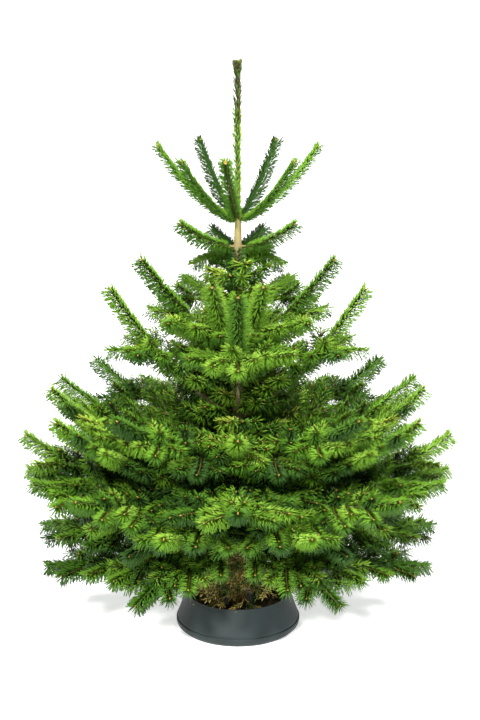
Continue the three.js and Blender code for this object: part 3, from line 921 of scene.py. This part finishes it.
def barked(centres, frames, radii, sides, relief, seed):
    """Corners and faces of one closed limb whose skin is pushed in and out by up to relief."""
    corners, faces = [], []
    for centre, (side, upward), radius in zip(centres, frames, radii):
        for k in range(sides):
            angle = 2 * math.pi * k / sides
            out = side * math.cos(angle) + upward * math.sin(angle)
            skin_point = centre + out * radius
            rough = noise.noise(Vector((
                skin_point[0] * BUMPS_ROUND, skin_point[1] * BUMPS_ROUND,
                skin_point[2] * BUMPS_ALONG + seed)))
            corners.append(skin_point + out * rough * relief * radius)
    rings = len(centres)
    for i in range(rings - 1):
        for k in range(sides):
            a, b = i * sides + k, i * sides + (k + 1) % sides
            faces += [(a, b, b + sides), (a, b + sides, a + sides)]
    corners += [centres[0], centres[-1]]
    foot, tip, last = rings * sides, rings * sides + 1, (rings - 1) * sides
    for k in range(sides):
        faces += [(foot, (k + 1) % sides, k), (tip, last + k, last + (k + 1) % sides)]
    return np.array(corners), np.array(faces)


def joined(name, parts, finish):
    """One smooth piece of several closed limbs."""
    corners, faces, first = [], [], 0
    for part_corners, part_faces in parts:
        corners.append(part_corners)
        faces.append(part_faces + first)
        first += len(part_corners)
    faces = np.concatenate(faces)
    thing = mesh_from_arrays(
        name, np.concatenate(corners), faces, np.zeros(len(faces)), [finish])
    for face in thing.data.polygons:
        face.use_smooth = True
    return thing


print("limbs can be given bark")

# %% The trunk
TIP_CLEARANCE = 0.016  # the trunk ends this far below the end buds
# height and radius
TAPER = [(foot_height, 0.027), (0.09, 0.025), (0.3, 0.021), (0.56, 0.0175), (0.85, 0.0135),
         (1.2, 0.010), (1.24, 0.0052), (1.6, 0.0034), (top_height - TIP_CLEARANCE, 0.0028)]
TRUNK_RINGS, TRUNK_SIDES, TRUNK_RELIEF = 260, 28, 0.10
COLLAR_HEIGHT = 0.014
heights = np.linspace(foot_height, top_height - TIP_CLEARANCE, TRUNK_RINGS)
radii = np.interp(heights, *zip(*TAPER))
for whorl in WHORLS[1:]:
    swell = 0.10 if whorl["years"] > 1 else 0.06
    radii = radii * (1 + swell * np.exp(-((heights - whorl["height"]) / COLLAR_HEIGHT) ** 2))
level = (np.array([1.0, 0, 0]), np.array([0, 1.0, 0]))
trunk = joined("trunk_bark", [barked(
    [UP * z for z in heights], [level] * len(heights), radii, TRUNK_SIDES, TRUNK_RELIEF, 3)], bark)
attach(trunk, "root")
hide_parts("trunk")
print(len(trunk.data.polygons), "faces of trunk")

# %% The boughs
BOUGH_RINGS, BOUGH_SIDES, BOUGH_RELIEF = 22, 9, 0.14
STOUT_SHARE = 0.3  # share of a bough that stays stout, or all of its bare limb
STOUT_TAPER = 0.28
THIN_FROM, THIN, END = 0.7, 0.0021, 0.0013


def bough_radii(root, limb, t):
    """Radii along a bough: little taper on the limb, then quickly down to a thin end."""
    stout = max(limb, STOUT_SHARE)
    inner = root * (1 - STOUT_TAPER * np.clip(t / stout, 0, 1))
    outer = np.interp(t, [stout, THIN_FROM, 1.0], [root * (1 - STOUT_TAPER), THIN, END])
    return np.where(t > stout, outer, inner)


parts = []
for number, bough in enumerate(boughs):
    curve = bough["curve"]
    t = np.linspace(0.0, 1.0, BOUGH_RINGS)
    forward = heading(curve, t)
    sideways = unit(np.cross(forward, UP))
    frames = list(zip(sideways, np.cross(sideways, forward)))
    radii = bough_radii(bough["whorl"]["root"], bough["limb"], t)
    parts.append(barked(along(curve, t), frames, radii, BOUGH_SIDES, BOUGH_RELIEF, number))
bough_bark = joined("bough_bark", parts, bark)
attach(bough_bark, "root")
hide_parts(*[bough["limb_name"] for bough in boughs if bough["limb"]])
print(len(bough_bark.data.polygons), "faces of bough")

# %% [markdown]
# ## Bare twigs at the foot
# Low on the trunk, in the shade just above the stand, thin old twigs have lost nearly all of
# their needles. They are swept rods too, each with three forks and a few dry or dark needles.

# %% Old bare twigs
# dead wood is dry, matt and bleached to a straw brown
old_wood, _, _ = finish_of("old_twig", Base_Color=colour("#a89a60"), Roughness=0.85)
OLD_TWIGS, OLD_TWIG_LOW, OLD_TWIG_RANGE = 130, 0.110, 0.12
OLD_TWIG_LEAST, OLD_TWIG_GROWTH = 0.08, 0.09
OLD_STEM_RADII, OLD_FORK_RADII = (0.0020, 0.0008), (0.0013, 0.0006)
OLD_SIDES = 5
OLD_NEEDLES = dict(count=14, lean=50, length=0.017, core=0.001)


def old_stem(k):
    """Centre line and length of one old twig."""
    out = outward(2 * math.pi * (k * GOLDEN % 1))
    size = OLD_TWIG_LEAST + OLD_TWIG_GROWTH * chance(k, 2)
    start = UP * (OLD_TWIG_LOW + OLD_TWIG_RANGE * chance(k, 1)) + out * 0.016
    bend = start + out * size * 0.5 + UP * size * 0.25 * spread(k, 3)
    way = out + np.cross(out, UP) * 1.1 * spread(k, 4) + UP * 0.4 * spread(k, 5)
    return (start, bend, bend + unit(way) * size * 0.55), size


print("old twigs up to", round(OLD_TWIG_LEAST + OLD_TWIG_GROWTH, 2), "m long")

# %% Grow the old twigs
lines, dry_rows = [], []
for k in range(OLD_TWIGS):
    stem, size = old_stem(k)
    lines.append((along(stem, np.linspace(0, 1, 6)), np.linspace(*OLD_STEM_RADII, 6)))
    for n in range(3):
        around = (0 if (n + k) % 2 else 180) + 40 * spread(k, n, 6)
        branch = shoot_at(stem, 0.35 + 0.2 * n, around, math.radians(48), size * (0.5 - 0.1 * n))
        lines.append((along(branch, np.linspace(0, 1, 4)), np.linspace(*OLD_FORK_RADII, 4)))
        tint = DRY if (k + n) % 3 else SHADE
        dry_rows.append(needles_on(
            branch, 0.1, 1, tint=tint, seed=700 + 10 * k + n, **OLD_NEEDLES))
old_twigs = swept("old_twigs", lines, OLD_SIDES, old_wood)
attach(old_twigs, "root")
dry_needles = needle_object("dry_needles", dry_rows)
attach(dry_needles, "root")
print(len(lines), "old twigs and forks")

# %% [markdown]
# ## The stand
# The stand is one injection-moulded tub: a skirt with a foot band below a groove, a rolled rim,
# and a deck round a well that holds the water. Moulded polypropylene is satin, because the mould
# was lightly blasted. Its section is turned round the middle, with every edge rounded.

# %% Moulded plastic
# a moulding varies a little in tone; a blasted grain is about 0.1 mm, which is too fine to show,
# so it is drawn ten times as coarse
CLOUD_MM, GRAIN_MM = 111, 1.111
plastic, tree, shader = finish_of("moulded_polypropylene", Roughness=0.55, IOR=1.49,
                                  Specular_IOR_Level=0.35)
place = node(tree, "ShaderNodeTexCoord")
cloud = node(tree, "ShaderNodeTexNoise",
             {"Scale": 1000 / CLOUD_MM, "Detail": 5.0, "Roughness": 0.6},
             Vector=place.outputs["Object"])
tones = node(tree, "ShaderNodeValToRGB", Fac=cloud.outputs["Fac"])
tones.color_ramp.elements[0].position, tones.color_ramp.elements[0].color = 0.35, colour("#1f2927")
tones.color_ramp.elements[1].position, tones.color_ramp.elements[1].color = 0.65, colour("#263031")
grain = node(tree, "ShaderNodeTexNoise", {"Scale": 1000 / GRAIN_MM, "Detail": 2.0},
             Vector=place.outputs["Object"])
bumps = node(tree, "ShaderNodeBump", {"Strength": 0.12, "Distance": 0.0004},
             Height=grain.outputs["Fac"])
tree.links.new(tones.outputs["Color"], shader.inputs["Base Color"])
tree.links.new(bumps.outputs["Normal"], shader.inputs["Normal"])
print("plastic grain", GRAIN_MM, "mm")

# %% The section of the tub
RIM_RADIUS, WALL, BAND, TURN_IN = 0.151, 0.004, 0.025, 0.009
DECK, WELL_RADIUS, WELL_FLOOR = 0.086, 0.078, 0.006
SLOPE = (RIM_RADIUS - FOOT_RADIUS) / (TUB_HEIGHT - BAND)
GROOVE = 0.0015  # how far the skirt stands back behind the foot band


def skirt(z):
    """Outer radius of the skirt at a height."""
    return FOOT_RADIUS - GROOVE + SLOPE * (z - BAND)


def inner(z):
    """Inner radius of the skirt at a height."""
    return skirt(z) - WALL


def arc(centre_r, centre_z, radius, first, last, steps):
    """Points of a rounded edge, from one angle in degrees to another."""
    angles = np.radians(np.linspace(first, last, steps))
    return [(centre_r + radius * math.cos(a), centre_z + radius * math.sin(a)) for a in angles]


section = [(0, WELL_FLOOR)]
section += arc(WELL_RADIUS - 0.008, WELL_FLOOR + 0.006, 0.006, -90, 0, 5)
section += arc(WELL_RADIUS + 0.004, DECK - 0.004, 0.004, 180, 90, 6)
section += arc(inner(DECK) - 0.003, DECK + 0.003, 0.003, -90, 0, 5)
section += arc(inner(TUB_HEIGHT) + WALL / 2, TUB_HEIGHT - WALL / 2, WALL / 2, 180, 0, 9)
section += [(skirt(z), z) for z in np.linspace(TUB_HEIGHT - 0.008, BAND + 0.005, 14)]
section += [(FOOT_RADIUS - 0.0032, BAND + 0.0032), (FOOT_RADIUS - 0.0036, BAND + 0.0018)]
section += arc(FOOT_RADIUS - 0.0022, BAND - 0.0022, 0.0022, 80, 0, 5)
section += [(FOOT_RADIUS, 0.015), (FOOT_RADIUS - 0.0012, 0.010), (FOOT_RADIUS - 0.0036, 0.006)]
section += arc(FOOT_RADIUS - TURN_IN - WALL / 2, WALL / 2, WALL / 2, 0, -180, 7)
section += [(FOOT_RADIUS - WALL - 0.001, 0.015), (inner(DECK - WALL) - 0.001, DECK - WALL),
            (WELL_RADIUS + WALL + 0.002, DECK - WALL), (WELL_RADIUS + WALL, DECK - WALL - 0.003),
            (WELL_RADIUS + WALL, 0.0), (0, 0)]
print(len(section), "points in the tub's section")

# %% Turn the tub
TUB_SIDES = 144
SHARP = math.radians(35)  # edges flatter than this look smooth


def rings_of(section, sides):
    """Corners of a turned section, and which of them stand in each of its rings."""
    corners, rings = [], []
    for radius, z in section:
        if radius == 0:
            rings.append([len(corners)] * sides)
            corners.append((0, 0, z))
        else:
            rings.append(list(range(len(corners), len(corners) + sides)))
            corners += [(radius * math.cos(2 * math.pi * k / sides),
                         radius * math.sin(2 * math.pi * k / sides), z) for k in range(sides)]
    return corners, rings


def turned(name, section, sides, finish):
    """A closed shell turned round the middle, smooth except at its sharp edges."""
    corners, rings = rings_of(section, sides)
    faces = []
    for low, high in zip(rings, rings[1:]):
        for k in range(sides):
            n = (k + 1) % sides
            for face in ((low[k], high[n], low[n]), (low[k], high[k], high[n])):
                if len(set(face)) == 3:
                    faces.append(face)
    thing = mesh_from_arrays(name, corners, np.array(faces), np.zeros(len(faces)), [finish])
    shell = bmesh.new()
    shell.from_mesh(thing.data)
    bmesh.ops.recalc_face_normals(shell, faces=shell.faces)
    for edge in shell.edges:
        edge.smooth = edge.calc_face_angle(0.0) < SHARP
    for face in shell.faces:
        face.smooth = True
    shell.to_mesh(thing.data)
    shell.free()
    return thing


tub = turned("tub", section, TUB_SIDES, plastic)
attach(tub, "root")
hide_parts("stand_tub")
print(len(tub.data.polygons), "faces of tub")

# %% [markdown]
# A cut tree drops its oldest needles, and they gather on the deck of the stand. They are the
# same needles, brown, and lie flat and mostly along the rim.

# %% Fallen needles on the deck
FALLEN_COUNT = 2200
CLEAR_OF_EDGE, ABOVE_DECK = 0.004, 0.0012
rng = np.random.RandomState(5)
turn = rng.uniform(0, 2 * math.pi, FALLEN_COUNT)
radius = rng.uniform(WELL_RADIUS + CLEAR_OF_EDGE, inner(DECK) - CLEAR_OF_EDGE, FALLEN_COUNT)
flat = np.full(FALLEN_COUNT, DECK + ABOVE_DECK)
middle = np.stack([radius * np.cos(turn), radius * np.sin(turn), flat], axis=1)
lie = turn + math.pi / 2 + rng.normal(0, 0.5, FALLEN_COUNT)
way = np.stack([np.cos(lie), np.sin(lie), np.zeros(FALLEN_COUNT)], axis=1)
size = rng.uniform(0.012, 0.020, FALLEN_COUNT)
litter = needle_object("fallen_needles", [(
    middle - way * (size / 2)[:, None], way, np.tile(UP, (FALLEN_COUNT, 1)), size,
    np.full(FALLEN_COUNT, NEEDLE_WIDTH), np.full(FALLEN_COUNT, FALLEN))])
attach(litter, "root")
print(FALLEN_COUNT, "needles on the deck")

# %% [markdown]
# Four steel claws lean their heads against the trunk. They are bars cut from plate and painted
# grey, so their long edges are slightly broken, which a bevel gives.

# %% Grey paint
# paint hides the metal's gloss, and dust lies on it in patches
DUST_MM = 22.2
painted_steel, tree, shader = finish_of("painted_steel", Roughness=0.5, Metallic=0.0)
place = node(tree, "ShaderNodeTexCoord")
dust = node(tree, "ShaderNodeTexNoise",
            {"Scale": 1000 / DUST_MM, "Detail": 6.0, "Roughness": 0.7},
            Vector=place.outputs["Object"])
tones = node(tree, "ShaderNodeValToRGB", Fac=dust.outputs["Fac"])
tones.color_ramp.elements[0].position, tones.color_ramp.elements[0].color = 0.35, colour("#85837e")
tones.color_ramp.elements[1].position, tones.color_ramp.elements[1].color = 0.65, colour("#a09e9a")
tree.links.new(tones.outputs["Color"], shader.inputs["Base Color"])
print("dust patches", DUST_MM, "mm wide")

# %% Claws
EDGE_BREAK = 0.0013
FLAT, CORNER = math.radians(2), math.radians(40)


def broken_edges(bar):
    """Merges a solid's loose triangles into flat sides and bevels its long edges."""
    shell = bmesh.new()
    shell.from_mesh(bar)
    bmesh.ops.remove_doubles(shell, verts=shell.verts, dist=1e-5)
    bmesh.ops.dissolve_limit(shell, angle_limit=FLAT, verts=shell.verts, edges=shell.edges)
    edges = [edge for edge in shell.edges if edge.calc_face_angle(0.0) > CORNER]
    bmesh.ops.bevel(shell, geom=edges, offset=EDGE_BREAK, segments=2, affect="EDGES", profile=0.5)
    bmesh.ops.triangulate(shell, faces=shell.faces)
    shell.to_mesh(bar)
    shell.free()


for number in range(1, 5):
    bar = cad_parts[f"stand_claw_{number}"].data.copy()
    broken_edges(bar)
    bar.materials.clear()
    bar.materials.append(painted_steel)
    claw = bpy.data.objects.new(f"claw_{number}", bar)
    bpy.context.scene.collection.objects.link(claw)
    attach(claw, "root")
    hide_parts(f"stand_claw_{number}")
print("claws bevelled")

# %% [markdown]
# ## Floor, light and camera
# A white floor that runs out of sight and is lit from below, like a table for product pictures,
# and an even white sky. Two broad lights come from the front, left and right, and one from above,
# so that the needles are bright on top and the crown stays dark inside.

# %% Floor
FLOOR_SIZE, BELOW_FOOT = 120, 0.0002
floor_paint, _, _ = finish_of(
    "lit_white_table", Base_Color=colour("#e8e8e8"), Roughness=0.9, Emission_Color=colour("#ffffff"),
    Emission_Strength=0.6)
bpy.ops.mesh.primitive_plane_add(size=FLOOR_SIZE, location=(0, 0, -BELOW_FOOT))
floor = bpy.context.object
floor.name = "floor"
floor.data.materials.append(floor_paint)
print("floor laid")

# %% Light
SKY = 0.36  # weak, so that the shade between the boughs stays deep
SOFTNESS = math.radians(6)
# the way each light travels, and its strength
SOFT_BOXES = dict(
    left=((0.50, 1.00, -0.9), 3.3),
    right=((-0.55, 0.85, -0.9), 2.7),
    top=((0.0, 0.10, -1.0), 2.2),
)
world = bpy.data.worlds.new("studio")
bpy.context.scene.world = world
world.use_nodes = True
sky = world.node_tree.nodes["Background"]
sky.inputs["Color"].default_value = (1.0, 1.0, 1.0, 1.0)
sky.inputs["Strength"].default_value = SKY
for name, (way, strength) in SOFT_BOXES.items():
    box = bpy.data.lights.new(f"soft_box_{name}", "SUN")
    box.energy, box.angle = strength, SOFTNESS
    holder = bpy.data.objects.new(f"soft_box_{name}", box)
    holder.rotation_euler = Vector(way).to_track_quat("-Z", "Y").to_euler()
    bpy.context.scene.collection.objects.link(holder)
print(len(SOFT_BOXES), "lights placed")

# %% Camera
# a long lens from well in front, looking down a little
LENS, SENSOR = 90, 36  # millimetres
SIDE_SHIFT = 0.0028  # as a share of the frame
CAMERA_PLACE, LOOKING_DOWN = (0, -4.856, 2.223), 16.33
lens = bpy.data.cameras.new("camera")
lens.lens, lens.sensor_width = LENS, SENSOR
lens.shift_x = SIDE_SHIFT
lens.clip_end = 200
camera = bpy.data.objects.new("camera", lens)
camera.location = CAMERA_PLACE
camera.rotation_euler = (math.radians(90 - LOOKING_DOWN), 0, 0)
bpy.context.scene.collection.objects.link(camera)
bpy.context.scene.camera = camera
bpy.context.scene.view_settings.view_transform = "Standard"
bpy.context.scene.view_settings.look = "None"
print("camera set, looking down", LOOKING_DOWN, "degrees")
